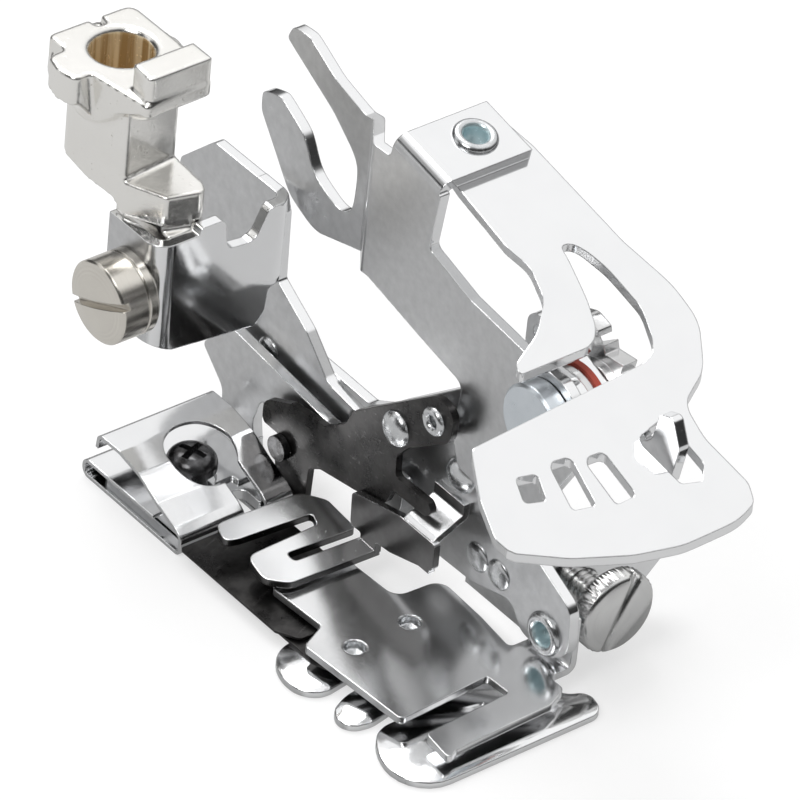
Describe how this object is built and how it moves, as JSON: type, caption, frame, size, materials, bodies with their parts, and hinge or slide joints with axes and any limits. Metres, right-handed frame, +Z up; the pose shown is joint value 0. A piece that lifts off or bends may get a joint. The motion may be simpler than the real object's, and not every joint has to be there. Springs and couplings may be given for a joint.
{
  "type": "sewing machine presser foot",
  "caption": "Presser foot that pleats cloth: a tall shank, a fork arm, a slotted selector lever and two blued blades.",
  "frame": {"origin": "point where the needle meets the sole's underside", "axes": "+Z up along the shank bore, +Y to the rear, where the shank is, +X to the right"},
  "size_m": [0.0399, 0.083, 0.0498],
  "materials": {
    "cast_nickel": "satin",
    "chrome_sheet": "polished",
    "turned_nickel": "polished",
    "spring_steel": "polished",
    "blued_steel": "satin",
    "rivet_steel": "satin",
    "zinc_steel": "satin",
    "red_fibre": "matte"
  },
  "bodies": {
    "frame": {"shank": "cast_nickel", "shank_bracket": "chrome_sheet", "backing_plate": "chrome_sheet", "sole_frame": "chrome_sheet", "sole_clip": "spring_steel", "clip_screw": "blued_steel", "separator_blade": "blued_steel", "guide_pin": "rivet_steel", "frame_rivets": "rivet_steel", "upper_guide": "chrome_sheet", "lower_guide": "chrome_sheet", "guide_rivets": "rivet_steel", "ear_rivet": "rivet_steel", "adjusting_finger": "chrome_sheet", "hub_pin": "zinc_steel", "hub_drum": "turned_nickel", "hub_washer": "red_fibre", "depth_bracket": "chrome_sheet", "depth_rivets": "rivet_steel"},
    "arm": {"fork_arm": "chrome_sheet", "selector_rivet": "rivet_steel"},
    "selector": {"selector_lever": "chrome_sheet"},
    "drive": {"drive_lever": "chrome_sheet", "pawl_pin": "rivet_steel"},
    "pawl": {"pawl": "turned_nickel"},
    "ratchet": {"ratchet_wheel": "turned_nickel"},
    "carrier": {"blade_carrier": "blued_steel", "carrier_rivets": "rivet_steel", "ruffling_blade": "blued_steel"},
    "clamp": {"clamp_screw": "turned_nickel"},
    "depth": {"depth_screw": "turned_nickel"}
  },
  "joints": [
    {"name": "arm_swing", "type": "hinge", "parent": "frame", "child": "arm", "pos_m": [0.0084, -0.0344, 0.0319], "axis": [1, 0, 0], "range_deg": [-20, 1]},
    {"name": "selector_turn", "type": "hinge", "parent": "arm", "child": "selector", "pos_m": [0.015, -0.01184, 0.04893], "axis": [0, -0.1857, 0.9826], "range_deg": [-0.5, 0.5]},
    {"name": "drive_swing", "type": "hinge", "parent": "frame", "child": "drive", "pos_m": [0.0128, -0.0344, 0.0319], "axis": [1, 0, 0], "range_deg": [-20, 1]},
    {"name": "pawl_lift", "type": "hinge", "parent": "drive", "child": "pawl", "pos_m": [0.0154, -0.0272, 0.0358], "axis": [1, 0, 0], "range_deg": [-12, 0]},
    {"name": "ratchet_spin", "type": "hinge", "parent": "frame", "child": "ratchet", "pos_m": [0.015, -0.0344, 0.0319], "axis": [1, 0, 0], "continuous": true},
    {"name": "blade_slide", "type": "slide", "parent": "frame", "child": "carrier", "axis": [0, 1, 0], "range_m": [-0.003, 0.00015]},
    {"name": "clamp_turn", "type": "hinge", "parent": "frame", "child": "clamp", "pos_m": [-0.007, 0.0119, 0.0242], "axis": [1, 0, 0], "range_deg": [-360, 360]},
    {"name": "depth_turn", "type": "hinge", "parent": "frame", "child": "depth", "pos_m": [0.0166, -0.036, 0.0066], "axis": [0, 1, 0], "range_deg": [-360, 360]}
  ],
  "couplings": [
    {"joint": "drive_swing", "follows": "arm_swing", "ratio": 1},
    {"joint": "blade_slide", "follows": "arm_swing", "m_per_rad": 0.008594}
  ]
}
